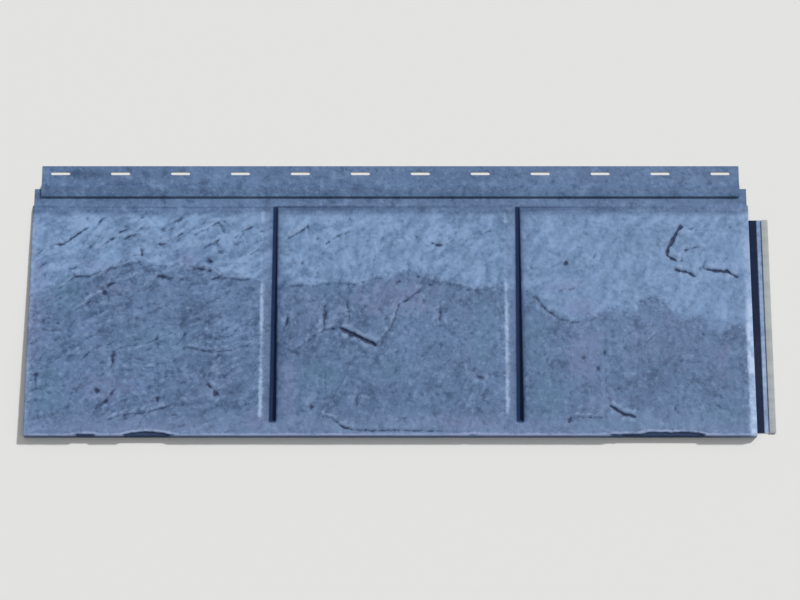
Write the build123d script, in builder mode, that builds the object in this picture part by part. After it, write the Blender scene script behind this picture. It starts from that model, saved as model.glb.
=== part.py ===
from build123d import *
from math import atan2, tan
import os

os.makedirs("parts", exist_ok=True)

# A roofing panel pressed from one painted steel sheet, which looks like three slates side by side.
# Sizes are in millimetres. X runs along the course, Y up the roof slope and Z out of the roof.
# Distances up the slope are measured from the butt, the raised lower edge that throws the shadow.
sheet = 0.5
bend_inner_radius = 0.5
exposure = 305.0

# The widths of the three slates: from the left wall to the first groove, from groove to groove,
# and from the second groove to the right wall. The joint gap is what shows between two panels.
slate_a_width = 307.25
slate_b_width = 306.0
slate_c_width = 292.25
joint_gap = 9.5

# The pressed form: a face that falls from the butt to the head, and a short ramp down to a flat strip,
# on which the butt of the next course rests.
butt_height = 11.0
head_height = 3.0
ramp_length = 6.0
seat_clearance = 2.0
corner_inner_radius = 1.5
rim_inner_radius = 1.0

# The grooves between the slates, each with a bevelled strip on its left. They end before the butt.
groove_width_at_butt = 9.5
groove_width_at_head = 6.0
groove_floor_width = 5.0
groove_floor_width_at_head = 3.0
groove_depth_at_butt = 6.5
groove_depth_at_head = 2.0
groove_end = 16.0
run_out_length = 6.0
bevel_reach = 16.5
bevel_drop_at_butt = 3.0
bevel_drop_at_head = 0.9
end_bevel_width = 10.0

# The hem under the butt, and the lock in the head that the hem of the next course slides into.
hem_depth = 18.0
hem_inset = 3.0
lock_clearance = 3.0
lock_slack = 1.1
lock_reach = 12.0
lock_inset = 10.0
fold_gap = 0.4

# The nail flange beyond the lock steps down to the deck, and holds a row of slots.
joggle_run = 3.0
joggle_radius = 1.5
nail_flange_width = 30.0
slot_count = 12
slot_length = 25.0
slot_width = 4.0
slot_to_edge = 10.0

# The side laps: a return flange on the left, and on the right a flange on the deck with a folded hook,
# which the return flange of the next panel slides into.
return_width = 10.0
lap_play = 0.35
lap_clearance = 4.5
hook_reach = 8.0
lap_start = 6.0
lap_head_clearance = 14.0

# Places that follow from these sizes. The origin is at the middle of the panel's bounding box, on the deck.
field_width = slate_a_width + slate_b_width + slate_c_width
cover_width = field_width + joint_gap
underlap_width = joint_gap + return_width + lap_clearance
lock_end = exposure + hem_depth + lock_clearance
panel_width = field_width + underlap_width
panel_depth = lock_end + nail_flange_width
left = -panel_width / 2
right = left + field_width
butt = -panel_depth / 2
ramp_foot = butt + exposure - seat_clearance
ramp_top = ramp_foot - ramp_length
groove_centres = [left + slate_a_width, left + slate_a_width + slate_b_width]
bend_radius = bend_inner_radius + sheet
lock_radius = (sheet + lock_slack) / 2 + sheet
lock_fold = butt + lock_end + sheet - lock_radius
lock_return = lock_reach - (lock_radius - sheet) - (sheet + fold_gap / 2)
joggle = lock_fold + lock_radius + joggle_radius
return_lift = sheet + lap_play
return_bend_top = return_lift + bend_radius
hook_radius = (sheet + 2 * lap_play) / 2 + sheet
hem_length = field_width - 2 * hem_inset
lap_end = ramp_top - lap_head_clearance
lap_length = lap_end - butt - lap_start
margin = 5.0


def face_height(station):
    """The height of the slates' face above the deck, at a station along Y."""
    fall = (station - butt) / (ramp_top - butt)
    return butt_height + fall * (head_height - butt_height)


def pressed_block(inset):
    """The solid under the face and inside the walls, set in from the panel's outer surface."""
    with BuildPart() as block:
        with BuildSketch(Plane.YZ.offset(left + inset)):
            with BuildLine():
                Polyline(
                    (butt, -margin),
                    (butt, butt_height),
                    (ramp_top, head_height),
                    (ramp_foot, sheet),
                    (lock_fold, sheet),
                    (lock_fold, -margin),
                    close=True,
                )
            make_face()
            if inset > 0:
                offset(amount=-inset, kind=Kind.INTERSECTION)
        extrude(amount=field_width - 2 * inset)
        corners = block.edges().filter_by(Axis.Z).group_by(Axis.Y)[0]
        fillet(corners, corner_inner_radius + sheet - inset)
        rim = block.edges().filter_by_position(Axis.Z, head_height + sheet, butt_height)
        fillet(rim, rim_inner_radius + sheet - inset)
    return block.part


def open_space(outline, stations, grow):
    """The space over an outline drawn at stations along the slope, grown on every side."""
    with BuildPart() as space:
        for station, rise in stations:
            with BuildSketch(Plane.XZ.offset(-station)):
                with BuildLine():
                    Polyline(*outline(station, rise), close=True)
                make_face()
                if grow > 0:
                    offset(amount=grow, kind=Kind.INTERSECTION)
        loft(ruled=True)
    return space.part


def share_of_fall(station):
    """How far a station lies from the butt towards the top of the ramp, from 0 to 1."""
    return min(max((station - butt) / (ramp_top - butt), 0), 1)


def between(at_butt, at_head, station):
    """A size that changes evenly from the butt to the head."""
    return at_butt + share_of_fall(station) * (at_head - at_butt)


def groove_space(centre, grow):
    """The space of a groove and of the bevelled strip on its left, with a sloped end near the butt."""

    def outline(station, rise):
        level = max(face_height(station), head_height) + rise
        half_width = between(groove_width_at_butt, groove_width_at_head, station) / 2
        half_floor = between(groove_floor_width, groove_floor_width_at_head, station) / 2
        depth = between(groove_depth_at_butt, groove_depth_at_head, station)
        drop = between(bevel_drop_at_butt, bevel_drop_at_head, station)
        return [
            (centre - bevel_reach, level + margin),
            (centre - bevel_reach, level),
            (centre - half_width, level - drop),
            (centre - half_floor, level - depth),
            (centre + half_floor, level - depth),
            (centre + half_width, level),
            (centre + half_width, level + margin),
        ]

    run_out_angle = atan2(groove_depth_at_butt, run_out_length)
    end = butt + groove_end - grow * tan(run_out_angle / 2)
    stations = [
        (end, groove_depth_at_butt),
        (end + run_out_length, 0),
        (ramp_top, 0),
        (ramp_foot + ramp_length, 0),
    ]
    return open_space(outline, stations, grow)


def end_bevel_space(grow):
    """The space over the bevelled strip along the right wall."""

    def outline(station, rise):
        level = max(face_height(station), head_height) + rise
        drop = between(bevel_drop_at_butt, bevel_drop_at_head, station)
        return [
            (right - end_bevel_width, level + margin),
            (right - end_bevel_width, level),
            (right, level - drop),
            (right + margin, level - drop * (1 + margin / end_bevel_width)),
            (right + margin, level + margin),
        ]

    stations = [(butt - margin, 0), (ramp_top, 0), (ramp_foot + ramp_length, 0)]
    return open_space(outline, stations, grow)


outer_form = pressed_block(0)
inner_form = pressed_block(sheet)
outer_spaces = [groove_space(centre, 0) for centre in groove_centres] + [end_bevel_space(0)]
inner_spaces = [groove_space(centre, sheet) for centre in groove_centres] + [end_bevel_space(sheet)]
inner_form = inner_form - inner_spaces

with BuildPart() as slate_panel:
    # The pressed skin is what lies between the outer and the inner form, above the deck.
    add(outer_form)
    add(outer_spaces, mode=Mode.SUBTRACT)
    add(inner_form, mode=Mode.SUBTRACT)
    with BuildSketch(Plane.XY):
        Rectangle(3 * panel_width, 3 * panel_depth)
    extrude(amount=-2 * margin, mode=Mode.SUBTRACT)

    # Where a wall turns into a flange, its foot is cut away up to the start of the bend.
    with BuildSketch(Plane.YZ.offset(left + hem_inset)):
        with Locations((butt, 0)):
            Rectangle(2 * sheet, bend_radius, align=(Align.CENTER, Align.MIN))
    extrude(amount=hem_length, mode=Mode.SUBTRACT)
    with BuildSketch(Plane.XZ.offset(-lap_end)):
        with Locations((left, 0)):
            Rectangle(2 * sheet, return_bend_top, align=(Align.CENTER, Align.MIN))
        with Locations((right, 0)):
            Rectangle(2 * sheet, bend_radius, align=(Align.CENTER, Align.MIN))
    extrude(amount=lap_length, mode=Mode.SUBTRACT)

    # The hem turns in from the foot of the butt wall and lies on the deck.
    with BuildSketch(Plane.YZ.offset(left + hem_inset)):
        with BuildLine():
            bend = JernArc((butt, bend_radius), (0, -1), bend_radius, 90)
            Line(bend @ 1, (butt + hem_depth, 0))
            offset(amount=sheet, side=Side.LEFT)
        make_face()
    extrude(amount=hem_length)

    # The return flange turns in under the left edge, one sheet and a little play above the deck.
    with BuildSketch(Plane.XZ.offset(-lap_end)):
        with BuildLine():
            bend = JernArc((left, return_bend_top), (0, -1), bend_radius, 90)
            Line(bend @ 1, (left + return_width, return_lift))
            offset(amount=sheet, side=Side.LEFT)
        make_face()
    extrude(amount=lap_length)

    # The underlap runs out on the deck from the right wall, and folds back over itself as a hook.
    with BuildSketch(Plane.XZ.offset(-lap_end)):
        with BuildLine():
            bend = JernArc((right - sheet, bend_radius), (0, -1), bend_radius, 90)
            deck = Line(bend @ 1, (right + underlap_width - hook_radius, 0))
            fold = JernArc(deck @ 1, deck % 1, hook_radius, 180)
            PolarLine(fold @ 1, hook_reach - hook_radius, direction=fold % 1)
            offset(amount=sheet, side=Side.LEFT)
        make_face()
    extrude(amount=lap_length)

    # The head folds back over the flat strip as a lock, then forward again as the nail flange.
    with BuildSketch(Plane.YZ.offset(left + lock_inset)):
        with BuildLine():
            lock = JernArc((lock_fold, 0), (1, 0), lock_radius, 180)
            back = PolarLine(lock @ 1, lock_return, direction=lock % 1)
            fold = JernArc(back @ 1, back % 1, fold_gap / 2, -180)
            FilletPolyline(
                fold @ 1,
                (joggle, (fold @ 1).Y),
                (joggle + joggle_run, 0),
                (butt + panel_depth, 0),
                radius=joggle_radius,
            )
            offset(amount=sheet, side=Side.LEFT)
        make_face()
    extrude(amount=field_width - 2 * lock_inset)

    # The nail slots are spread evenly over the cover width, so their spacing runs on from panel to panel.
    with BuildSketch(Plane.XY):
        with Locations((left + field_width / 2, butt + panel_depth - slot_to_edge)):
            with GridLocations(cover_width / slot_count, 1, slot_count, 1):
                SlotOverall(slot_length, slot_width)
    extrude(amount=2 * sheet, mode=Mode.SUBTRACT)

slate_panel.part.label = "slate_panel"
export_step(slate_panel.part, "parts/slate_panel.step")
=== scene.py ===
import math

import bmesh
import bpy
import numpy as np
from mathutils import Matrix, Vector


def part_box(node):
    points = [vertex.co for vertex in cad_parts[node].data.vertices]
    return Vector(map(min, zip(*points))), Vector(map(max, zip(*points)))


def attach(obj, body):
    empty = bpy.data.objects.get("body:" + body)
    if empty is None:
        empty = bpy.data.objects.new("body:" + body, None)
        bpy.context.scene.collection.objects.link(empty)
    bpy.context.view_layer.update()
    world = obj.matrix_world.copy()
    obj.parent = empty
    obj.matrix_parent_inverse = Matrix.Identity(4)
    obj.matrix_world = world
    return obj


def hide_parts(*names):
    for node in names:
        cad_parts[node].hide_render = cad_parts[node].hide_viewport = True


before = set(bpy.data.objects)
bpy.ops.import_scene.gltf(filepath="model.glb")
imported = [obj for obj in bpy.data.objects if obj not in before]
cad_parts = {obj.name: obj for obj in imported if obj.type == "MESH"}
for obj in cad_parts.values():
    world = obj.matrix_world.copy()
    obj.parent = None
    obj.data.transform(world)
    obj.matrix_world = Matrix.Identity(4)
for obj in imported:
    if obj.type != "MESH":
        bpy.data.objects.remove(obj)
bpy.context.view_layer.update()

# ---- The slates' face ----
# Three slates' faces, pressed side by side into one painted steel sheet. They fall from the butt to the
# head, and two tapering grooves part them, each with a bevelled strip on its left.
# The panel is modelled in millimetres, and brought to metres once it is whole.
MM = 0.001
panel_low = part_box("slate_panel")[0]
left = round(panel_low.x / MM, 2)
butt = round(panel_low.y / MM, 2)
sheet = 0.5
slate_a_width = 307.25
slate_b_width = 306.0
field_width = 905.5
right = left + field_width
groove_centres = (left + slate_a_width, left + slate_a_width + slate_b_width)
ramp_top = butt + 297.0
ramp_foot = butt + 303.0
lock_fold = butt + 325.2
butt_height = 11.0
head_height = 3.0
rim_radius = 1.5
corner_radius = 2.0
bevel_reach = 16.5
end_bevel_width = 10.0
groove_end = butt + 16.0
run_out_length = 6.0

# These change evenly from the butt to the head.
groove_half_width = (4.75, 3.0)
groove_half_floor = (2.5, 1.5)
groove_depth = (6.5, 2.0)
bevel_drop = (3.0, 0.9)

# The folds and the nail slots begin and end at these places.
hem_inset = 3.0
lock_inset = 10.0
lap_start = butt + 6.0
lap_end = ramp_top - 14.0
slot_count = 12
slot_spacing = 76.25
first_slot = left + field_width / 2 - slot_spacing * (slot_count - 1) / 2
slot_centres = [first_slot + slot_spacing * i for i in range(slot_count)]
slot_half_length = 12.5
slot_radius = 2.0

# The mesh has a point at least this often, and is finer near the grooves and the butt.
pitch = 1.6
fine_pitch = 0.8
fine_beside_groove = 8
fine_above_butt = 9


def stations(marks, pitches):
    """Even stations from the first mark to the last, which keep every mark."""
    marks = sorted(marks)
    runs = []
    for start, end in zip(marks, marks[1:]):
        count = max(1, round((end - start) / pitches((start + end) / 2)))
        runs.append(np.linspace(start, end, count, endpoint=False))
    return np.append(np.concatenate(runs), marks[-1])


def column_pitch(x):
    near_groove = min(abs(x - centre) for centre in groove_centres) < fine_beside_groove
    return fine_pitch if near_groove else pitch


def row_pitch(y):
    if y > ramp_foot:
        return 2 * pitch
    return fine_pitch if y < butt + fine_above_butt else pitch


# Each corner's outline turns in four steps, from points this far in from the walls.
corner_step = 1.81
rim_marks = [rim_radius, corner_step, corner_radius]
column_marks = [left + m for m in rim_marks] + [right - m for m in rim_marks]
column_marks += [left + hem_inset, right - hem_inset, left + lock_inset, right - lock_inset]
for centre in slot_centres:
    for reach in (slot_half_length, slot_half_length - slot_radius):
        column_marks += [centre - reach, centre + reach]
for centre in groove_centres:
    column_marks.append(centre - bevel_reach)
    for reach in (groove_half_width[0], groove_half_floor[0]):
        column_marks += [centre - reach, centre + reach]
row_marks = [butt + m for m in rim_marks]
row_marks += [lap_start, groove_end, groove_end + run_out_length, lap_end, ramp_top, ramp_foot, lock_fold]
columns = stations(column_marks, column_pitch)
rows = stations(row_marks, row_pitch)

bpy.ops.object.select_all(action="DESELECT")
bpy.ops.mesh.primitive_grid_add(x_subdivisions=len(columns) - 1, y_subdivisions=len(rows) - 1, size=1)
panel = bpy.context.object
panel.name = "pressed_panel"
panel.data.name = "pressed_panel"


def fall(y):
    """How far down the face a place lies, from 0 at the butt to 1 at the top of the ramp."""
    return np.clip((y - butt) / (ramp_top - butt), 0, 1)


def tapered(sizes, y):
    at_butt, at_head = sizes
    return at_butt + (at_head - at_butt) * fall(y)


def groove_profile(across, y):
    """Depth below the slates' face of a groove and its bevelled strip, across from the groove's middle."""
    half_width = tapered(groove_half_width, y)
    half_floor = tapered(groove_half_floor, y)
    depth = tapered(groove_depth, y)
    drop = tapered(bevel_drop, y)
    strip = drop * (across + bevel_reach) / (bevel_reach - half_width)
    left_wall = drop + (depth - drop) * (across + half_width) / (half_width - half_floor)
    right_wall = depth * (half_width - across) / (half_width - half_floor)
    steps = [across < -bevel_reach, across < -half_width, across < -half_floor, across < half_floor]
    deep = np.select(steps, [0, strip, left_wall, depth], right_wall)
    return np.where(across > half_width, 0, deep)


def sharp_form(x, y):
    """Height of the pressed form before its edges are rounded, and its depth below the face."""
    block = np.interp(y, [butt, ramp_top, ramp_foot], [butt_height, head_height, sheet])
    face = butt_height + (head_height - butt_height) * (y - butt) / (ramp_top - butt)
    level = np.maximum(face, head_height)
    deepest = np.zeros_like(x)
    for centre in groove_centres:
        run_out = np.interp(y, [groove_end, groove_end + run_out_length], [groove_depth[0], 0])
        deepest = np.maximum(deepest, groove_profile(x - centre, y) - run_out)
    end_strip = tapered(bevel_drop, y) * (x - (right - end_bevel_width)) / end_bevel_width
    deepest = np.maximum(deepest, end_strip)
    return np.minimum(block, level - deepest), deepest


def groove_marks(y):
    """The places across a groove, from its middle, at which its profile turns."""
    half_width, half_floor = tapered(groove_half_width, y), tapered(groove_half_floor, y)
    return [-bevel_reach, -half_width, -half_floor, half_floor, half_width, bevel_reach]


# The grid's points, one row after another, go to their stations. Near a groove they follow its taper.
points = np.empty(len(panel.data.vertices) * 3)
panel.data.vertices.foreach_get("co", points)
points = points.reshape(-1, 3)
order = np.lexsort((points[:, 0].round(5), points[:, 1].round(5)))
X, Y = np.meshgrid(columns, rows)
for centre in groove_centres:
    across = X - centre
    for row, y in zip(across, rows):
        beside = np.abs(row) < bevel_reach
        row[beside] = np.interp(row[beside], groove_marks(butt), groove_marks(y))
    X = centre + across

# The rounded plan corners of the butt.
for corner_x, side in ((left + corner_radius, -1), (right - corner_radius, 1)):
    corner_y = butt + corner_radius
    out_x, out_y = (X - corner_x) * side, corner_y - Y
    in_corner = (out_x > 1e-6) & (out_y > 1e-6)
    length = np.hypot(out_x, out_y)
    reach = (corner_radius - rim_radius) / np.where(in_corner, length, 1)
    X = np.where(in_corner, corner_x + side * out_x * reach, X)
    Y = np.where(in_corner, corner_y - out_y * reach, Y)

# The pressed form's edges are rounded: each height is the mean over a small square around its place.
edge_round = 0.7
offsets = (-1, -0.5, 0, 0.5, 1)
form, below = np.zeros_like(X), np.zeros_like(X)
for step_x in offsets:
    for step_y in offsets:
        height, depth = sharp_form(X + edge_round * step_x, Y + edge_round * step_y)
        form += height / len(offsets) ** 2
        below += depth / len(offsets) ** 2

# ---- The riven relief ----
# The die is cut like split slate: thin layers that end in ragged ledges, a grain along each slate, and
# nicks. Each slate has its own grain and its own ledges. V is the distance up from the butt.
V = Y - butt
joint_gap = 9.5
widest_slate = 320
wave_height = 0.45
layer_height = 0.42
grit_height = 0.11
stroke_slant = 38
lowest_dent, highest_ledge = -1.6, 1.5
bite_depth = 2.2
carving_reach = 6


def noise(x, y, seed):
    """Smooth noise from about -1 to 1, over cells of unit size."""
    cells = 256
    turns = np.random.default_rng(seed).uniform(0, 2 * math.pi, (cells, cells))
    column, row = np.floor(x).astype(int), np.floor(y).astype(int)
    along, up = x - column, y - row
    ease_x = along**3 * (along * (along * 6 - 15) + 10)
    ease_y = up**3 * (up * (up * 6 - 15) + 10)

    def corner(i, j):
        turn = turns[(row + j) % cells, (column + i) % cells]
        return np.cos(turn) * (along - i) + np.sin(turn) * (up - j)

    low = corner(0, 0) + ease_x * (corner(1, 0) - corner(0, 0))
    high = corner(0, 1) + ease_x * (corner(1, 1) - corner(0, 1))
    return 1.5 * (low + ease_y * (high - low))


def cloud(x, y, seed, octaves):
    """Noise with finer and finer noise added, each half as strong."""
    return sum(noise(x * 2**k, y * 2**k, seed + k) / 2**k for k in range(octaves))


def ease(share):
    """A share from 0 to 1, with a soft start and a soft end."""
    share = np.clip(share, 0, 1)
    return share * share * (3 - 2 * share)


def hump(away, width):
    """1 in the middle, and dying away to both sides over a width."""
    return np.exp(-((away / width) ** 2))


def from_line(x, v, points):
    """Distance from a line, positive on its left, and the share of its length run there."""
    points = np.array(points, float)
    steps = np.diff(points, axis=0)
    lengths = np.hypot(*steps.T)
    starts = np.concatenate([[0], np.cumsum(lengths)])
    nearest, side, share = np.full(x.shape, 1e9), np.zeros(x.shape), np.zeros(x.shape)
    for (px, pv), (sx, sv), length, start in zip(points, steps, lengths, starts):
        run = np.clip(((x - px) * sx + (v - pv) * sv) / length**2, 0, 1)
        away_x, away_v = x - px - run * sx, v - pv - run * sv
        distance = np.hypot(away_x, away_v)
        closer = distance < nearest
        nearest = np.where(closer, distance, nearest)
        side = np.where(closer, np.sign(sx * away_v - sv * away_x), side)
        share = np.where(closer, (start + run * length) / starts[-1], share)
    return nearest * side, share


def ledge(x, v, height, reach, points):
    """A ledge that stands up on the left of a line and dies away over its reach, with a hollow foot."""
    distance, share = from_line(x, v, points)
    distance = distance + 0.9 * noise(x / 5, v / 5, 901)
    ends = ease(share / 0.12) * ease((1 - share) / 0.12)
    foot = 0.3 * hump(distance + 1.6, 1.4)
    return height * ends * (ease((distance + 1.1) / 2.2) * np.exp(-np.maximum(distance, 0) / reach) - foot)


def nick(x, v, depth, width, points):
    """A narrow dent along a line, uneven in width and depth, and slighter towards its ends."""
    distance, share = from_line(x, v, points)
    distance = distance + 0.8 * width * noise(x / 7, v / 7, 902)
    middle = ease(share / 0.35) * ease((1 - share) / 0.35)
    width = width * (0.65 + 0.35 * middle) * (1.6 + 0.6 * noise(x / 11, v / 11, 903))
    depth = depth * (0.5 + 0.5 * middle) * np.clip(1.1 + 0.5 * noise(x / 8, v / 8, 904), 0.5, 1.4)
    return -depth * hump(distance, width)


def bitten(x, v, points):
    """How far up from the butt its edge is bitten away, along a line of points."""
    reach = np.interp(x, *zip(*points))
    return reach * (1 + 0.2 * noise(x / 7, np.zeros_like(v), 905)) - v


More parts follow.
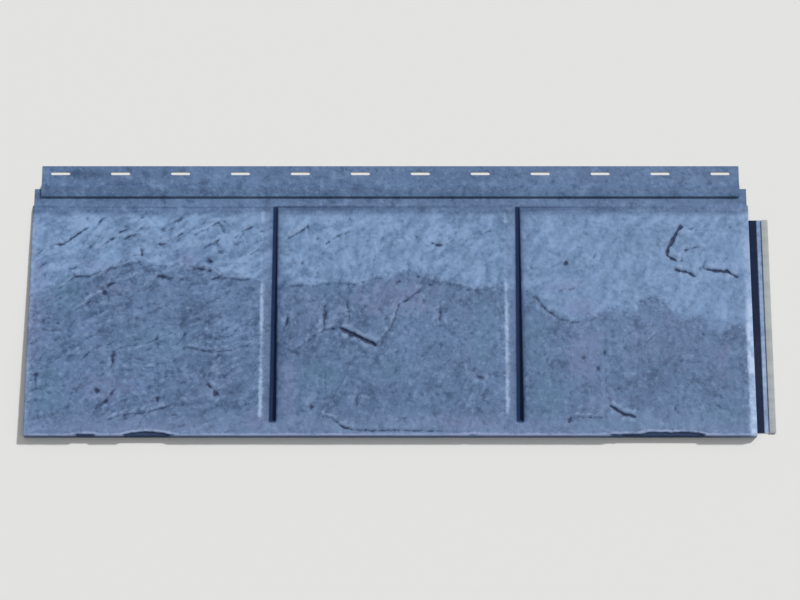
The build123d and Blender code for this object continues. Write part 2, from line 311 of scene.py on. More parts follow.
# Ledges are (height, reach, points), nicks are (depth, width, points), and bites and the border of the
# paler zone are points. Points are from the slate's left joint, and up from the butt. The fibre is
# (length, width, height, strength of its tones), the creases are (length, width, depth), and the strokes
# a depth. Tints are (share, x, v, reach in x, reach in v), violet above 0 and green below it.
slates = [
    {
        "joint": left - joint_gap / 2,
        "grain": 24,
        "seed": 11,
        "fibre": (40, 8, 0.16, 1.0),
        "creases": (36, 15, 0.42),
        "strokes": 0.55,
        "tints": [(1, 12, 155, 14, 95), (0.7, 202, 230, 16, 14), (0.8, 88, 221, 15, 9),
                  (0.7, 110, 191, 34, 12), (0.8, 104, 62, 38, 22), (0.7, 150, 10, 150, 7),
                  (0.8, 292, 22, 22, 16), (0.5, 232, 60, 40, 18), (-1, 54, 184, 20, 34), (-1, 34, 60, 22, 40),
                  (-0.6, 110, 255, 60, 12), (-0.7, 170, 120, 70, 30)],
        "ledges": [
            (0.65, 30, [(31, 188), (51, 197), (60, 209), (80, 209), (97, 216), (125, 224), (141, 228),
                        (150, 220)]),
            (0.5, 22, [(54, 158), (74, 171), (97, 188), (107, 199), (133, 205), (141, 218)]),
            (0.8, 24, [(196, 118), (230, 110), (250, 110), (274, 116), (291, 123)]),
            (0.7, 22, [(100, 19), (122, 27), (150, 30), (174, 36), (186, 41)]),
            (1.0, 20, [(22, 246), (49, 254), (63, 266), (80, 277)]),
            (0.5, 16, [(190, 133), (170, 125), (154, 118), (130, 114), (114, 110)]),
            (0.9, 14, [(83, 241), (95, 250), (104, 258), (118, 262)]),
            (0.7, 14, [(200, 216), (216, 219), (231, 216), (246, 208), (262, 205), (285, 204)]),
            (0.8, 12, [(222, 246), (236, 255), (250, 262)]),
            (0.8, 12, [(160, 250), (178, 257), (196, 268)]),
            (0.9, 12, [(118, 256), (136, 268), (150, 280)]),
            (0.9, 12, [(204, 262), (226, 272), (244, 284)]),
            (0.8, 12, [(258, 258), (272, 270), (286, 276)]),
            (0.35, 14, [(30, 96), (52, 104), (75, 105), (92, 112)]),
            (0.35, 12, [(150, 84), (166, 92), (184, 96), (204, 106)]),
            (0.3, 12, [(212, 160), (236, 168), (262, 170)]),
            (0.35, 12, [(118, 43), (133, 49), (152, 52), (166, 49)]),
        ],
        "nicks": [
            (1.1, 3.0, [(112.5, 109), (112, 99), (111, 88)]),
            (1.0, 2.4, [(100, 39), (108, 48), (116, 58)]),
            (0.9, 3.0, [(90, 56), (97, 61)]),
            (1.1, 2.3, [(229, 69), (235, 61), (246, 49)]),
            (1.1, 2.8, [(108, 200), (97, 189), (104, 179)]),
            (1.0, 2.2, [(160, 209), (170, 207), (182, 203)]),
            (0.5, 1.8, [(185, 205), (208, 201)]),
            (0.8, 2.0, [(205, 220), (218, 219), (231, 217)]),
            (0.5, 1.6, [(223, 228), (235, 227)]),
            (0.9, 2.4, [(170, 52), (170, 41)]),
            (0.8, 2.4, [(18, 87), (17, 65)]),
            (0.8, 2.0, [(144, 248), (145, 231)]),
            (0.4, 2.0, [(174, 168), (178, 170)]),
            (0.4, 2.0, [(132, 150), (142, 151), (150, 150)]),
            (0.4, 3.0, [(26, 158), (24, 135)]),
            (0.35, 2.2, [(196, 150), (201, 128)]),
            (0.4, 2.2, [(248, 96), (246, 84)]),
        ],
        "bites": [(62, 0), (72, 2.2), (92, 2), (102, 0), (124, 0.4), (138, 4), (152, 5.6), (172, 4.8),
                  (188, 1.8), (200, 0)],
        "border": [(0, 182), (26, 188), (46, 197), (60, 209), (80, 209), (97, 216), (125, 224), (141, 229),
                   (155, 220), (175, 218), (195, 224), (231, 216), (246, 209), (266, 205), (312, 202)],
    },
    {
        "joint": groove_centres[0],
        "grain": 58,
        "seed": 31,
        "fibre": (24, 10, 0.1, 0.75),
        "creases": (26, 17, 0.27),
        "strokes": 0.3,
        "tints": [(1, 150, 178, 52, 24), (0.9, 17, 60, 12, 46), (0.8, 235, 17, 60, 11),
                  (0.6, 252, 82, 15, 12), (0.5, 60, 160, 30, 30), (-0.9, 58, 76, 34, 26),
                  (-0.8, 148, 82, 34, 24), (-0.9, 66, 200, 12, 40), (-0.9, 264, 130, 18, 56),
                  (-0.5, 190, 40, 50, 16)],
        "ledges": [
            (1.4, 40, [(80, 142), (86, 140), (104, 131), (128, 119), (131, 116)]),
            (0.7, 34, [(17, 104), (21, 107), (34, 116), (47, 128), (62, 137), (73, 140), (84, 141)]),
            (0.8, 34, [(126, 119), (136, 128), (144, 139), (150, 154), (154, 170), (164, 176), (180, 189),
                       (191, 198)]),
            (0.5, 16, [(10, 197), (52, 196), (68, 200), (103, 198), (121, 205), (145, 207)]),
            (0.45, 16, [(167, 214), (186, 206), (204, 201), (232, 196), (250, 190), (288, 193)]),
            (0.8, 14, [(60, 250), (78, 262), (96, 270)]),
            (0.7, 12, [(190, 256), (204, 250), (220, 252)]),
            (0.8, 12, [(14, 258), (30, 268), (46, 280)]),
            (0.7, 30, [(57, 33), (62, 26), (74, 24), (86, 13), (102, 8)]),
            (0.4, 12, [(236, 58), (252, 66), (270, 70)]),
            (0.4, 12, [(112, 88), (126, 94), (142, 92)]),
            (0.35, 14, [(209, 176), (210, 158), (207, 140)]),
            (0.35, 14, [(66, 96), (66, 70), (69, 44)]),
        ],
        "nicks": [
            (1.5, 2.2, [(83, 139), (92, 134), (104, 128)]),
            (1.2, 1.6, [(104, 128), (127, 117)]),
            (0.9, 2.4, [(63, 175), (64, 158), (63, 139)]),
            (0.8, 2.0, [(92, 175), (93, 160), (95, 148)]),
            (0.6, 2.4, [(209, 175), (210, 158), (208, 142)]),
            (0.4, 5.0, [(138, 184), (134, 162), (135, 144)]),
            (-0.3, 2.0, [(83, 182), (83, 156)]),
            (0.8, 2.0, [(184, 197.5), (197, 196)]),
            (0.5, 2.0, [(179, 240), (183, 237)]),
            (0.7, 2.2, [(199, 252), (213, 248)]),
            (0.7, 2.2, [(245, 85), (252, 79), (264, 70)]),
            (0.9, 2.2, [(17, 157), (18, 150), (15, 142)]),
            (-0.5, 2.6, [(9, 152), (8, 147)]),
            (0.6, 2.8, [(107, 55), (103, 33)]),
            (0.5, 2.2, [(25, 107), (29, 104)]),
            (0.4, 2.4, [(123, 96), (131, 94)]),
            (0.4, 2.0, [(150, 198), (160, 199)]),
            (0.7, 2.0, [(47, 42), (50, 28)]),
            (0.8, 1.3, [(80, 17), (88, 11), (102, 7), (130, 6.4), (160, 6.6), (190, 6.2), (216, 5)]),
        ],
        "bites": [(228, 0), (246, 1.6), (262, 0.8), (270, 0)],
        "border": [(0, 197), (52, 195), (68, 200), (103, 197), (121, 204), (145, 207), (167, 214), (185, 207),
                   (200, 202), (233, 197), (250, 190), (306, 193)],
    },
    {
        "joint": groove_centres[1],
        "grain": 58,
        "seed": 51,
        "fibre": (26, 10, 0.08, 0.55),
        "creases": (28, 18, 0.16),
        "strokes": 0.12,
        "tints": [(1, 80, 106, 24, 42), (0.8, 58, 195, 36, 8), (0.8, 80, 166, 28, 14), (0.8, 252, 96, 12, 38),
                  (0.7, 106, 42, 38, 8), (0.5, 180, 120, 60, 40), (-1, 22, 136, 20, 44), (-1, 36, 50, 28, 34),
                  (-0.9, 122, 14, 46, 8), (-0.8, 248, 28, 30, 24), (-0.5, 150, 240, 60, 40)],
        "ledges": [
            (1.4, 60, [(213, 276), (208, 271), (202, 266), (198, 255), (191, 246), (189, 236), (196, 231),
                       (205, 227)]),
            (0.9, 16, [(196, 218), (211, 215), (224, 208)]),
            (1.0, 18, [(233, 219), (249, 216), (262, 216), (276, 207)]),
            (0.5, 20, [(245, 266), (228, 268), (212, 269)]),
            (0.6, 26, [(11, 185), (22, 181), (35, 164), (53, 151), (68, 148), (88, 150), (106, 158)]),
            (0.7, 12, [(65, 26), (84, 25), (104, 24)]),
            (1.0, 18, [(109, 42), (116, 37), (127, 29), (143, 25)]),
            (0.4, 14, [(143, 172), (154, 176), (166, 181), (180, 174), (192, 160)]),
            (0.35, 12, [(82, 212), (90, 224), (95, 238), (108, 246)]),
            (0.4, 12, [(220, 140), (232, 131), (252, 130), (268, 141)]),
            (0.35, 14, [(30, 120), (34, 98), (44, 84)]),
            (0.35, 12, [(150, 108), (160, 124), (172, 134)]),
        ],
        "nicks": [
            (0.9, 2.6, [(56, 20), (66, 21.5)]),
            (1.2, 2.1, [(112, 39), (127, 28), (141, 25)]),
            (0.5, 5.0, [(64, 68), (62, 50)]),
            (0.5, 2.6, [(79, 102), (80, 98)]),
            (0.7, 2.6, [(103, 110), (108, 105)]),
            (0.5, 2.2, [(93, 82), (100, 89)]),
            (0.5, 2.4, [(199, 97), (202, 95)]),
            (0.4, 2.2, [(240, 40), (255, 33)]),
            (0.5, 1.9, [(55, 224), (66, 224)]),
            (0.5, 1.9, [(42, 190.5), (68, 190.5)]),
            (1.3, 2.6, [(206, 274), (198, 258), (190, 246), (190, 236), (203, 229)]),
            (0.9, 1.9, [(198, 216), (211, 214), (223, 208)]),
            (1.0, 1.9, [(235, 218), (250, 214.5), (263, 214), (275, 206)]),
            (0.55, 2.8, [(12, 185), (26, 177), (38, 162), (60, 149)]),
            (0.4, 4.0, [(35, 148), (33, 122), (36, 104)]),
            (0.4, 2.2, [(192, 40), (193, 30)]),
        ],
        "bites": [(96, 0), (112, 1.8), (150, 2.8), (160, 5.2), (184, 4.6), (206, 5), (222, 3.6), (230, 0)],
        "border": [(0, 182), (22, 180), (35, 164), (53, 151), (68, 147), (88, 150), (106, 158), (119, 162),
                   (145, 160), (154, 174), (163, 181), (180, 174), (191, 160), (202, 151), (229, 150),
                   (240, 134), (253, 130), (271, 142), (300, 133)],
    },
]

relief, bite, tint = np.zeros_like(X), np.zeros_like(X), np.zeros_like(X)
pale, fibre_tone, layer_tone = np.zeros_like(X), np.zeros_like(X), np.zeros_like(X)
for slate in slates:
    mine = (columns >= slate["joint"]) & (columns < slate["joint"] + widest_slate)
    x, v = X[:, mine] - slate["joint"], V[:, mine]
    seed, turn = slate["seed"], math.radians(slate["grain"])
    bent = 12 * cloud(x / 80, v / 80, seed, 2)
    along = x * math.cos(turn) + v * math.sin(turn) + bent
    across = -x * math.sin(turn) + v * math.cos(turn) + bent

    # A broad wave, layers that step down one after another, the fibre along them, and a fine grit.
    wave = wave_height * cloud(x / 120, v / 100, seed + 3, 2)
    layer = 2.0 * cloud(along / 120, across / 52, seed + 5, 3) + 0.14 * cloud(x / 8, v / 8, seed + 9, 2)
    steps = layer * 1.5
    whole = np.floor(steps)
    risen = whole + ease((steps - whole) / 0.12)
    layers = layer_height * (risen - 0.85 * steps)
    length, width, height, strength = slate["fibre"]
    fibre = cloud(along / length, across / width, seed + 13, 3)
    grit = cloud(x / 6.5, v / 6.5, seed + 17, 2)
    made = wave + layers + height * fibre + grit_height * grit

    # Thin creases that wander along the grain and come and go.
    length, width, height = slate["creases"]
    vein = cloud(along / length, across / width, seed + 33, 3)
    patchy = ease((noise(x / 38, v / 38, seed + 37) + 0.3) / 0.5)
    made = made - height * patchy * hump(vein, 0.15)

    # Strokes that rise to the right, deeper towards the head.
    turn = math.radians(stroke_slant)
    bent = 6 * noise(x / 40, v / 40, seed + 23)
    along = x * math.cos(turn) + v * math.sin(turn) + bent
    across = v * math.cos(turn) - x * math.sin(turn) + bent
    stroke = cloud(along / 38, across / 11, seed + 21, 2)
    made = made - slate["strokes"] * ease((stroke - 0.05) / 0.9) * ease((v - 215) / 60)
    for height, reach, line in slate["ledges"]:
        made = made + ledge(x, v, height, reach, line)
    for depth, width, line in slate["nicks"]:
        made = made + nick(x, v, depth, width, line)
    relief[:, mine] = made
    bite[:, mine] = bitten(x, v, slate["bites"])
    pale[:, mine] = v - np.interp(x, *zip(*slate["border"]))
    # Along the strokes the tone darkens towards the head: painted shade with grime.
    fibre_tone[:, mine] = strength * (fibre + 0.6 * grit - 0.8 * stroke * ease((v - 180) / 40))
    layer_tone[:, mine] = np.sin(2.3 * risen + seed)
    for share, middle_x, middle_v, reach_x, reach_v in slate["tints"]:
        away = np.hypot((x - middle_x) / reach_x, (v - middle_v) / reach_v)
        away = away + 0.5 * cloud(x / 14, v / 14, seed + 27, 3)
        tint[:, mine] += share * ease((1.25 - away) / 0.9)

# The relief is quieter on the bevelled strips and near the walls, and ends before the ramp.
quiet = 1 - 0.75 * ease(below / 1.2)
from_wall = np.minimum(X - left, right - X)
quiet *= 0.35 + 0.65 * ease(from_wall / 7)
quiet *= 0.55 + 0.45 * ease(V / 9)
quiet *= ease((ramp_top - 2 - Y) / 14)
relief = np.clip(relief, lowest_dent, highest_ledge) * quiet


def local_mean(values, cells):
    """The mean over a square of cells around each place."""
    for axis in (0, 1):
        before, after = values.take([0] * (cells + 1), axis), values.take([-1] * cells, axis)
        total = np.cumsum(np.concatenate([before, values, after], axis), axis)
        count = values.shape[axis]
        ahead = total.take(range(2 * cells + 1, 2 * cells + 1 + count), axis)
        values = (ahead - total.take(range(count), axis)) / (2 * cells + 1)
    return values


carving = relief - local_mean(relief, round(carving_reach / pitch))
bite_floor = ease(bite / 1.2 + 0.3) * ease((bite + V) / 1.5)
Z = form + relief - bite_depth * bite_floor

# Masks for the paint: the painted highlight with wear along the butt's rim, the painted shade with grime in
# the bites and grooves, the painted shade on the bevelled strips, and the painted highlight with wear on the
# arrises.
# Painted highlight with wear along the butt's rim.
rim_line = hump(bite + 1.6, 1.6)
# The bites are painted dark: painted shade.
joint, strip = 0.85 * bite_floor, np.zeros_like(X)
# Painted highlight with wear on the end bevel and along the left wall's edge.
arris = 1.35 * ease((X - (right - end_bevel_width - 1)) / 5) * ease((ramp_top - Y) / 4)
arris *= np.interp(V, [0, 30, 60, 150, 200, 297], [1, 0.8, 1, 1, 0.6, 0.35])
arris = np.maximum(arris, 0.62 * hump(X - left - 2, 6) * ease((ramp_top - Y) / 30))
patchy = ease((noise(X / 16, V / 12, 61) + 0.4) / 0.7)
for centre in groove_centres:
    across = X - centre
    half_width = tapered(groove_half_width, Y)
    along_groove = ease((V - 15) / 4)
    # The grooves are painted dark, and so is a fringe beside them: painted shade with grime.
    joint = np.maximum(joint, along_groove * ease((half_width + 0.5 - np.abs(across)) / 1.0))
    beside = np.maximum(np.abs(across) - half_width, 0)
    fringe = np.where(across > 0, 0.7 * np.exp(-beside / 3), 0.4 * np.exp(-beside / 1.8))
    fringe = np.maximum(fringe, 0.5 * patchy * np.exp(-beside / 7) * (across > 0))
    joint = np.maximum(joint, fringe * along_groove)
    # Painted shade on the bevelled strip to the left of each groove.
    in_strip = ease((across + bevel_reach) / 1.5) * ease((-half_width + 0.5 - across) / 1.0)
    strip = np.maximum(strip, in_strip * ease((V - 15) / 9))
    # Painted highlight with wear along each groove's arris.
    highlight_and_wear_along = ease((V - 18) / 10) * (1 - 0.75 * ease((V - 196) / 14)) + 0.5 * ease((V - 276) / 6)
    past_arris = across + bevel_reach - 0.8
    highlight_and_wear_across = hump(past_arris, 2.3) + 0.3 * ease(past_arris / 3) * np.exp(-past_arris / 7)
    highlight_and_wear_across = np.where(across < -half_width, highlight_and_wear_across, 0)
    arris = np.maximum(arris, highlight_and_wear_across * highlight_and_wear_along * ease((ramp_top - Y) / 4))
joint *= ease((ramp_foot - Y) / 3)
# The strips' painted shade is stronger towards the butt.
strip *= 0.55 + 0.45 * ease((120 - V) / 90)

points = np.empty((X.size, 3))
points[order] = np.stack([X.ravel(), Y.ravel(), Z.ravel()], axis=1)
panel.data.vertices.foreach_set("co", points.ravel())
masks = {"carving": carving, "fibre": fibre_tone, "layer": layer_tone, "pale": pale}
masks.update({"joint": joint, "strip": strip, "arris": arris, "rim": rim_line, "tint": np.clip(tint, -1, 1)})
for name, values in masks.items():
    stored = np.empty(X.size)
    stored[order] = values.ravel()
    panel.data.attributes.new(name, "FLOAT", "POINT").data.foreach_set("value", stored)
panel.data.update()

# ---- The rim, the walls and the folds ----
# The sheet is drawn over a rounded rim into walls at the butt and both sides. The walls' feet are folded
# into the hem, the return flange and the underlap with its hook, and the head into the lock and flange.
bend_radius = 1.0
bend_inner_radius = 0.5
return_lift = 0.85
return_bend_top = return_lift + bend_radius
rim_steps = 4
hair = 0.01
face_edges, face_cells = len(panel.data.edges), len(panel.data.polygons)
bpy.ops.object.mode_set(mode="EDIT")
bpy.ops.mesh.select_mode(type="EDGE")


def select_edges(wanted):
    """Selects the sheet's free edges whose ends all pass a test."""
    bpy.ops.mesh.select_all(action="DESELECT")
    mesh = bmesh.from_edit_mesh(panel.data)
    for edge in mesh.edges:
        if edge.is_boundary and wanted(edge.verts[0].co) and wanted(edge.verts[1].co):
            edge.select_set(True)
    bmesh.update_edit_mesh(panel.data)


def move_selected(shift):
    """Moves each selected point by what a function of its place says."""
    mesh = bmesh.from_edit_mesh(panel.data)
    for vert in mesh.verts:
        if vert.select:
            vert.co = shift(vert.co)
    bmesh.update_edit_mesh(panel.data)


def outward(co):
    """The direction away from the panel's middle, square to its outline."""
    x = min(max(co.x, left + corner_radius), right - corner_radius)
    y = max(co.y, butt + corner_radius)
    length = math.hypot(co.x - x, co.y - y)
    return (co.x - x) / length, (co.y - y) / length


def run(x=0, y=0, z=0):
    """Draws the selected edge straight out."""
    bpy.ops.mesh.extrude_region_move(TRANSFORM_OT_translate={"value": (x, y, z)})


def bend(degrees, centre, axis, steps):
    """Draws the selected edge round an arc, turning as a right-handed screw about the axis."""
    bpy.ops.mesh.spin(steps=steps, angle=-math.radians(degrees), center=centre, axis=axis)


def near(a, b):
    return abs(a - b) < 1e-3


def foot_of_wall(co):
    """Where the wall ends below a point: at the start of a bend, or on the deck."""
    at_front = co.y < butt + hair
    if at_front and left + hem_inset - hair < co.x < right - hem_inset + hair:
        return bend_radius
    if not at_front and lap_start - hair < co.y < lap_end + hair:
        return return_bend_top if co.x < 0 else bend_radius
    return 0


def on_rim(co):
    outline = co.x < left + corner_radius or co.x > right - corner_radius or co.y < butt + corner_radius
    return outline and co.y < ramp_foot + hair


# The rim, in steps of a rounded edge. It is rounded less along the ramp, where the wall gets lower.
select_edges(on_rim)
for step in range(rim_steps):
    run()
    turned = [math.radians(90 * k / rim_steps) for k in (step, step + 1)]
    out = math.sin(turned[1]) - math.sin(turned[0])
    down = math.cos(turned[0]) - math.cos(turned[1])

    def over_rim(co):
        side_x, side_y = outward(co)
        up_ramp = max(0, (ramp_foot - co.y) / (ramp_foot - ramp_top))
        drop = rim_radius * min(1, up_ramp * 0.8)
        return (co.x + rim_radius * out * side_x, co.y + rim_radius * out * side_y, co.z - drop * down)

    move_selected(over_rim)

# The walls.
run()
move_selected(lambda co: (co.x, co.y, min(co.z, foot_of_wall(co) if co.y < ramp_foot - hair else co.z)))

# The hem under the butt.
hem_depth = 18.0
select_edges(lambda co: near(co.z, bend_radius) and co.y < butt + hair)
bend(90, (0, butt + bend_radius, bend_radius), (1, 0, 0), 4)
run(y=hem_depth - bend_radius)

# The return flange on the left.
return_width = 10.0
select_edges(lambda co: near(co.z, return_bend_top) and near(co.x, left))
bend(-90, (left + bend_radius, 0, return_bend_top), (0, 1, 0), 4)
run(x=return_width - bend_radius)

# The underlap on the right, and its hook.
underlap_width = 24.0
hook_radius = 1.1
hook_reach = 8.0
half_run = (underlap_width - hook_radius - bend_inner_radius) / 2
select_edges(lambda co: near(co.z, bend_radius) and near(co.x, right))
bend(-90, (right + bend_inner_radius, 0, bend_radius), (0, 1, 0), 3)
run(x=half_run)
run(x=half_run)
bend(-180, (right + underlap_width - hook_radius, 0, hook_radius), (0, 1, 0), 6)
run(x=hook_radius - hook_reach)

# The lock in the head, the joggle and the nail flange.
lock_radius = 1.3
lock_return = 10.5
fold_gap = 0.4
fold_radius = 0.7
fold_centre = lock_fold - lock_return
fold_top = 2 * lock_radius + fold_gap + sheet
joggle = butt + 328.0
joggle_run = 3.0
joggle_slope = 2.121
joggle_radius = 1.5
joggle_angle = 45
joggle_tangent = joggle_radius * math.tan(math.radians(joggle_angle / 2))
joggle_start = joggle - joggle_tangent
joggle_end = joggle + joggle_run + joggle_tangent
flange_end = butt + 356.0
slot_line = flange_end - 10.0
lock_left, lock_right = left + lock_inset, right - lock_inset
select_edges(lambda co: near(co.y, lock_fold) and lock_left - hair < co.x < lock_right + hair)
bend(180, (0, lock_fold, lock_radius), (1, 0, 0), 6)
run(y=-lock_return)
bend(-180, (0, fold_centre, fold_top - fold_radius), (1, 0, 0), 5)
run(y=joggle_start - fold_centre)
bend(-joggle_angle, (0, joggle_start, joggle_radius), (1, 0, 0), 3)
run(y=joggle_slope, z=-joggle_slope)
bend(joggle_angle, (0, joggle_end, joggle_radius), (1, 0, 0), 3)
run(y=slot_line - slot_radius - joggle_end)
run(y=slot_radius)
run(y=slot_radius)
run(y=flange_end - slot_line - slot_radius)

# The nail slots, with cut-off corners for rounded ends.
cut_back = slot_radius * (1 - math.sqrt(0.5))
bpy.ops.mesh.select_all(action="DESELECT")
mesh = bmesh.from_edit_mesh(panel.data)
for face in mesh.faces:
    middle = face.calc_center_median()
    across_slot = abs(middle.y - slot_line) < slot_radius and middle.z < sheet + hair
    if across_slot and min(abs(middle.x - centre) for centre in slot_centres) < slot_half_length:
        face.select_set(True)
bmesh.update_edit_mesh(panel.data)
bpy.ops.mesh.delete(type="FACE")
mesh = bmesh.from_edit_mesh(panel.data)
for vert in mesh.verts:
    if near(abs(vert.co.y - slot_line), slot_radius) and near(vert.co.z, sheet):
        for centre in slot_centres:
            if near(abs(vert.co.x - centre), slot_half_length):
                vert.co.x -= math.copysign(cut_back, vert.co.x - centre)
                vert.co.y -= math.copysign(cut_back, vert.co.y - slot_line)
bmesh.update_edit_mesh(panel.data)

# The folds' edges and faces come in another order on each run. So they are put in order of their points,
# behind those of the slates' face, which keep their places.
mesh = bmesh.from_edit_mesh(panel.data)
for parts, in_face in ((mesh.edges, face_edges), (mesh.faces, face_cells)):
    parts.index_update()
    place = parts.layers.int.new("place")
    for part in parts:
        part[place] = part.index + 1 if part.index < in_face else 0
bmesh.update_edit_mesh(panel.data)
bpy.ops.mesh.select_all(action="SELECT")
bpy.ops.mesh.remove_doubles(threshold=hair)
mesh = bmesh.from_edit_mesh(panel.data)
mesh.verts.index_update()
for parts in (mesh.edges, mesh.faces):
    place = parts.layers.int["place"]

    def sort_key(part):
        """The place of an edge or face, or for one of the folds a number from its points."""
        number = 1
        for index in sorted(vert.index for vert in part.verts)[:3]:
            number = number * len(mesh.verts) + index
        return part[place] or number

    parts.sort(key=sort_key)
    parts.layers.int.remove(place)
bmesh.update_edit_mesh(panel.data)
bpy.ops.object.mode_set(mode="OBJECT")
ends = np.empty(len(panel.data.edges) * 2, int)
panel.data.edges.foreach_get("vertices", ends)
panel.data.edges.foreach_set("vertices", np.sort(ends.reshape(-1, 2)).ravel())

# ---- The sheet ----
# The sheet is half a millimetre thick. Its upper side has the paint, its underside the backer coat, and
# its cut edges are bare. The mesh keeps its points where the relief needs them.
triangle_limit = 196000
painted, backed, bare = range(3)
for finish in (painted, backed, bare):
    panel.data.materials.append(None)
inner_side = panel.vertex_groups.new(name="inner_side")
solidify = panel.modifiers.new("sheet", "SOLIDIFY")
solidify.thickness = sheet
solidify.offset = -1
solidify.shell_vertex_group = inner_side.name
solidify.material_offset = backed
solidify.material_offset_rim = bare
bpy.ops.object.modifier_apply(modifier=solidify.name)
backs = panel.modifiers.new("backs", "DECIMATE")
backs.vertex_group = inner_side.name
backs.ratio = 0.6
bpy.ops.object.modifier_apply(modifier=backs.name)
panel.data.calc_loop_triangles()
fronts = panel.modifiers.new("fronts", "DECIMATE")
fronts.ratio = triangle_limit / len(panel.data.loop_triangles)
bpy.ops.object.modifier_apply(modifier=fronts.name)
panel.data.transform(Matrix.Scale(MM, 4))
panel.data.update()
bpy.ops.object.shade_smooth_by_angle(angle=math.radians(38))

# ---- The finishes ----
# A satin slate-blue coat, paler towards the head, with painted shade and grime in the joints and nicks, and
# painted highlight with light wear on the raised edges. Underneath is a thin grey backer coat, and the cut
# edges are bare zinc.


def paint(red, green, blue):
    """A colour as it is read on a screen, in the shader's own measure."""
    channels = [c / 255 for c in (red, green, blue)]
    return [c / 12.92 if c <= 0.04045 else ((c + 0.055) / 1.055) ** 2.4 for c in channels] + [1]


def node(tree, kind, inputs=(), **settings):
    """A shader node, whose inputs are numbers, colours or other nodes' outputs."""
    made = tree.nodes.new("ShaderNode" + kind)
    for name, value in settings.items():
        setattr(made, name, value)
    for name, value in dict(inputs).items():
        if isinstance(value, bpy.types.NodeSocket):
            tree.links.new(value, made.inputs[name])
        else:
            made.inputs[name].default_value = value
    return made


def mixed(tree, share, under, over):
    return node(tree, "Mix", {0: share, 6: under, 7: over}, data_type="RGBA").outputs[2]


def ramp(tree, value, low, high, start=0.0, end=1.0):
    """A value mapped smoothly from one range to another."""
    inputs = {"Value": value, "From Min": low, "From Max": high, "To Min": start, "To Max": end}
    return node(tree, "MapRange", inputs, interpolation_type="SMOOTHSTEP").outputs["Result"]


def maths(tree, operation, a, b):
    return node(tree, "Math", {0: a, 1: b}, operation=operation).outputs[0]


def stored(tree, name):
    return node(tree, "Attribute", attribute_name=name).outputs["Fac"]


def speckle(tree, place, size, detail=3.0, roughness=0.55):
    """Noise whose largest patches are about a size, in metres."""
    inputs = {"Vector": place, "Scale": 1 / size, "Detail": detail, "Roughness": roughness}
    return node(tree, "TexNoise", inputs).outputs["Fac"]


# The grain in the coats: a coarse one with a finer and lower one on it.
grain = bpy.data.node_groups.new("sheet_grain", "ShaderNodeTree")
grain.interface.new_socket("Vector", in_out="INPUT", socket_type="NodeSocketVector")
grain.interface.new_socket("Size", in_out="INPUT", socket_type="NodeSocketFloat")
grain.interface.new_socket("Height", in_out="OUTPUT", socket_type="NodeSocketFloat")
given = grain.nodes.new("NodeGroupInput").outputs
per_metre = maths(grain, "DIVIDE", 1.0, given["Size"])
finer = maths(grain, "MULTIPLY", per_metre, 5.5)
coarse = node(grain, "TexNoise", {"Vector": given["Vector"], "Scale": per_metre, "Detail": 5.0})
fine = node(grain, "TexNoise", {"Vector": given["Vector"], "Scale": finer, "Detail": 2.0})
height = maths(grain, "MULTIPLY_ADD", fine.outputs["Fac"], 0.3)
grain.links.new(coarse.outputs["Fac"], height.node.inputs[2])
grain.links.new(height, grain.nodes.new("NodeGroupOutput").inputs["Height"])


def new_finish(name):
    """A finish, with its node tree, its shader, and the place on the panel."""
    finish = bpy.data.materials.new(name)
    finish.use_nodes = True
    tree = finish.node_tree
    return finish, tree, tree.nodes["Principled BSDF"], node(tree, "TexCoord").outputs["Object"]


def grained(tree, place, size, strength, distance):
    """The direction that a surface faces, where it has the sheet's grain."""
    height = node(tree, "Group", node_tree=grain)
    tree.links.new(place, height.inputs["Vector"])
    height.inputs["Size"].default_value = size
    inputs = {"Height": height.outputs["Height"], "Strength": strength, "Distance": distance}
    return node(tree, "Bump", inputs).outputs["Normal"]


# The top coat.
top_coat, tree, surface, place = new_finish("slate_blue_paint")
along = node(tree, "SeparateXYZ", {0: place}).outputs
upright = node(tree, "SeparateXYZ", {0: node(tree, "NewGeometry").outputs["Normal"]}).outputs["Z"]

# A fine crumb, which breaks up the borders of other changes of tone.
crumb = maths(tree, "SUBTRACT", speckle(tree, place, 0.0055, 6.0, 0.68), 0.5)


def broken_up(value, reach):
    return maths(tree, "ADD", value, maths(tree, "MULTIPLY", crumb, reach))


carved, fibre = broken_up(stored(tree, "carving"), 0.45), broken_up(stored(tree, "fibre"), 1.6)
layer = stored(tree, "layer")

# The coat itself, with broad and fine changes of tone that follow the layers and the grain.
tone = ramp(tree, speckle(tree, place, 0.09, 4.0), 0.3, 0.7)
colour = mixed(tree, tone, paint(80, 106, 143), paint(94, 122, 160))
colour = mixed(tree, ramp(tree, layer, -1, 1, 0, 0.25), colour, paint(106, 130, 170))
colour = mixed(tree, ramp(tree, fibre, 0.15, 1.1, 0, 0.6), colour, paint(112, 139, 177))
colour = mixed(tree, ramp(tree, fibre, -0.15, -1.1, 0, 0.65), colour, paint(62, 85, 119))
mottle = speckle(tree, place, 0.016, 5.0, 0.62)
colour = mixed(tree, ramp(tree, mottle, 0.52, 0.68, 0, 0.65), colour, paint(116, 142, 180))
colour = mixed(tree, ramp(tree, mottle, 0.48, 0.32, 0, 0.65), colour, paint(56, 79, 113))
colour = mixed(tree, ramp(tree, crumb, 0.03, 0.2, 0, 0.5), colour, paint(124, 148, 184))
colour = mixed(tree, ramp(tree, crumb, -0.03, -0.2, 0, 0.5), colour, paint(54, 76, 110))

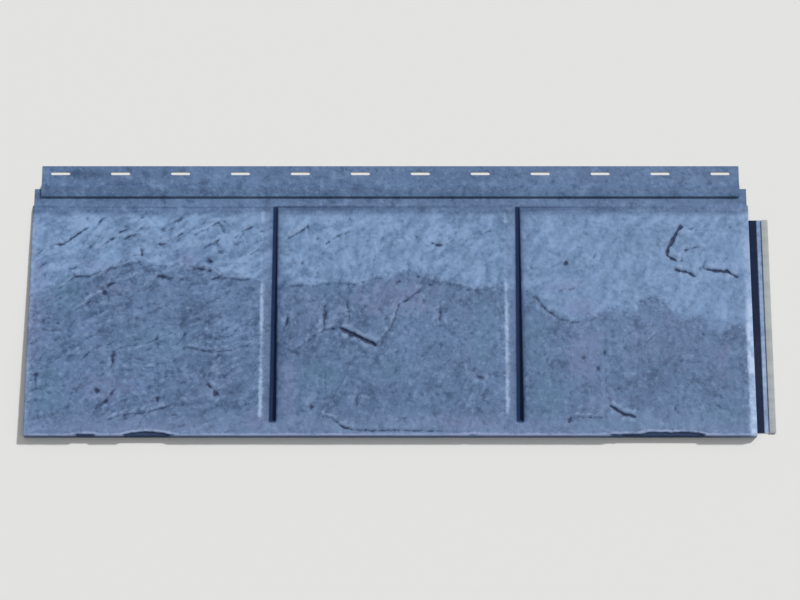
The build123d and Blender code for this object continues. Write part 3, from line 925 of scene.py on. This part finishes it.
# Paler towards the head, up to a ragged border.
border_play, border_shift = 30.0, 14.0
border_noise = maths(tree, "MULTIPLY", speckle(tree, place, 0.026, 5.0, 0.65), border_play)
beyond_border = maths(tree, "ADD", stored(tree, "pale"), border_noise)
beyond_border = maths(tree, "SUBTRACT", beyond_border, border_shift)
beyond_border = broken_up(beyond_border, 12.0)
head_end = ramp(tree, along["Y"], (ramp_top - 2) * MM, (ramp_top - 11) * MM)
paler_zone = maths(tree, "MULTIPLY", ramp(tree, beyond_border, -4.0, 9.0), head_end)
patches = ramp(tree, speckle(tree, place, 0.03, 4.0, 0.6), 0.36, 0.6, 0.6, 0.9)
pale_tone = mixed(tree, ramp(tree, fibre, -0.9, 0.9), paint(102, 133, 172), paint(135, 165, 205))
pale_tone = mixed(tree, ramp(tree, mottle, 0.5, 0.68, 0, 0.5), pale_tone, paint(144, 170, 208))
pale_tone = mixed(tree, ramp(tree, crumb, -0.02, -0.2, 0, 0.35), pale_tone, paint(86, 114, 151))
colour = mixed(tree, maths(tree, "MULTIPLY", paler_zone, patches), colour, pale_tone)

# The coat is a little paler just above the butt. Patches of it are a little violet, and others a little
# green;
# the violet strips along the first two slates' left edges are a painted reflection.
near_butt = ramp(tree, along["Y"], (butt + 42) * MM, (butt + 6) * MM, 0, 0.36)
colour = mixed(tree, near_butt, colour, paint(124, 146, 184))
tint = stored(tree, "tint")
colour = mixed(tree, ramp(tree, tint, 0, 1, 0, 0.36), colour, paint(120, 130, 172))
colour = mixed(tree, ramp(tree, tint, 0, -1, 0, 0.32), colour, paint(90, 126, 158))

# Painted shade with grime in the hollows, and painted highlight with wear on the crests.
colour = mixed(tree, ramp(tree, carved, -0.06, -0.7, 0, 0.92), colour, paint(28, 43, 78))
colour = mixed(tree, ramp(tree, carved, 0.06, 0.6, 0, 0.5), colour, paint(144, 169, 206))

# Painted shade on the strips and grooves, grime in the grooves, painted highlight and wear on arrises and
# rim.
# Painted shade on the bevelled strips.
colour = mixed(tree, maths(tree, "MULTIPLY", stored(tree, "strip"), 0.5), colour, paint(70, 92, 128))
# Painted highlight with wear on the arrises, broken up in patches.
highlight_and_wear_breakup = ramp(tree, speckle(tree, place, 0.02, 3.0, 0.6), 0.35, 0.58, 0.55, 1.0)
arris_highlight_and_wear = broken_up(maths(tree, "MULTIPLY", stored(tree, "arris"), highlight_and_wear_breakup), 1.1)
colour = mixed(tree, ramp(tree, arris_highlight_and_wear, 0.1, 1.0, 0, 0.85), colour, paint(152, 176, 212))
colour = mixed(tree, ramp(tree, arris_highlight_and_wear, 0.9, 1.35, 0, 0.7), colour, paint(182, 201, 232))
# Painted shade with grime in the grooves, beside them and in the bites.
colour = mixed(tree, maths(tree, "MULTIPLY", stored(tree, "joint"), 0.98), colour, paint(12, 36, 76))
# Painted highlight with wear along the butt's rim, on faces that are not steep.
rim = broken_up(maths(tree, "MULTIPLY", stored(tree, "rim"), highlight_and_wear_breakup), 0.9)
rim = maths(tree, "MULTIPLY", ramp(tree, rim, 0.15, 0.75), ramp(tree, upright, 0.3, 0.7))
colour = mixed(tree, maths(tree, "MULTIPLY", rim, 0.85), colour, paint(148, 165, 202))

# Painted shade with grime at the foot of the butt wall and other steep walls, and painted shade on the
# underlap strip in the joint.
low_down = ramp(tree, along["Z"], 9.5 * MM, 6 * MM)
wall = maths(tree, "MULTIPLY", ramp(tree, upright, 0.45, 0.2), low_down)
colour = mixed(tree, maths(tree, "MULTIPLY", wall, 0.7), colour, paint(34, 48, 80))
past_wall = ramp(tree, along["X"], (right - 0.4) * MM, (right + 0.2) * MM)
before_next = ramp(tree, along["X"], (right + joint_gap + 1.5) * MM, (right + joint_gap - 0.5) * MM)
joint_strip_shade = maths(tree, "MULTIPLY", past_wall, before_next)
colour = mixed(tree, maths(tree, "MULTIPLY", joint_strip_shade, 0.98), colour, paint(8, 22, 54))

# The coat is duller in the paler zone, and where the grooves, bites and joint strip are painted dark.
rough = ramp(tree, mottle, 0.3, 0.7, 0.48, 0.6)
rough = maths(tree, "ADD", rough, maths(tree, "MULTIPLY", paler_zone, 0.08))
shade_and_grime = maths(tree, "MAXIMUM", stored(tree, "joint"), joint_strip_shade)
rough = maths(tree, "ADD", rough, maths(tree, "MULTIPLY", shade_and_grime, 0.3))
tree.links.new(colour, surface.inputs["Base Color"])
tree.links.new(rough, surface.inputs["Roughness"])
tree.links.new(grained(tree, place, 0.0045, 0.8, 0.0006), surface.inputs["Normal"])
surface.inputs["Specular IOR Level"].default_value = 0.3

# The backer coat, rolled on in faint streaks along the sheet.
backer_coat, tree, surface, place = new_finish("grey_backer_coat")
streaks = node(tree, "Mapping", {"Vector": place, "Scale": (1 / 0.4, 1 / 0.012, 1 / 0.012)}).outputs[0]
tone = speckle(tree, streaks, 1.0)
colour = mixed(tree, ramp(tree, tone, 0.35, 0.65), paint(150, 155, 158), paint(164, 169, 171))
tree.links.new(colour, surface.inputs["Base Color"])
tree.links.new(ramp(tree, tone, 0.3, 0.7, 0.48, 0.6), surface.inputs["Roughness"])
tree.links.new(grained(tree, place, 0.003, 0.4, 0.0001), surface.inputs["Normal"])

# The zinc under both coats, bare where the sheet was cut.
cut_edge, tree, surface, place = new_finish("bare_zinc_edge")
tone = speckle(tree, place, 0.006)
colour = mixed(tree, ramp(tree, tone, 0.35, 0.65), paint(148, 152, 155), paint(184, 187, 189))
tree.links.new(colour, surface.inputs["Base Color"])
tree.links.new(ramp(tree, tone, 0.3, 0.7, 0.4, 0.6), surface.inputs["Roughness"])
surface.inputs["Metallic"].default_value = 0.7

panel.data.materials[painted] = top_coat
panel.data.materials[backed] = backer_coat
panel.data.materials[bare] = cut_edge

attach(panel, "root")
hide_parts("slate_panel")

# ---- The studio ----
# A plain pale floor, soft light from the upper right, and a camera that looks down on the panel from the
# butt's side.
floor_size = 80
below_panel = -0.0003
bpy.ops.mesh.primitive_plane_add(size=floor_size, location=(0, 0, below_panel))
floor = bpy.context.object
floor.name = "floor"
floor_paint = bpy.data.materials.new("pale_floor")
floor_paint.use_nodes = True
floor_surface = floor_paint.node_tree.nodes["Principled BSDF"]
floor_surface.inputs["Base Color"].default_value = (0.8, 0.8, 0.79, 1)
floor_surface.inputs["Roughness"].default_value = 0.9
floor.data.materials.append(floor_paint)

sun_height, sun_heading = math.radians(40), math.radians(45)
bpy.ops.object.light_add(type="SUN", rotation=(0, math.pi / 2 - sun_height, sun_heading))
sun = bpy.context.object
sun.data.energy = 2.65
sun.data.angle = math.radians(5)
sky = bpy.data.worlds.new("soft_light")
sky.use_nodes = True
sky.node_tree.nodes["Background"].inputs["Color"].default_value = (1, 1, 1, 1)
sky.node_tree.nodes["Background"].inputs["Strength"].default_value = 0.41
bpy.context.scene.world = sky

viewing_angle = math.radians(17)
viewing_distance = 3.4
bpy.ops.object.camera_add(
    location=(0, -viewing_distance * math.sin(viewing_angle), viewing_distance * math.cos(viewing_angle)),
    rotation=(viewing_angle, 0, 0),
)
camera = bpy.context.object
camera.data.sensor_width = 36
camera.data.lens = 122
bpy.context.scene.camera = camera
bpy.context.scene.view_settings.view_transform = "Standard"
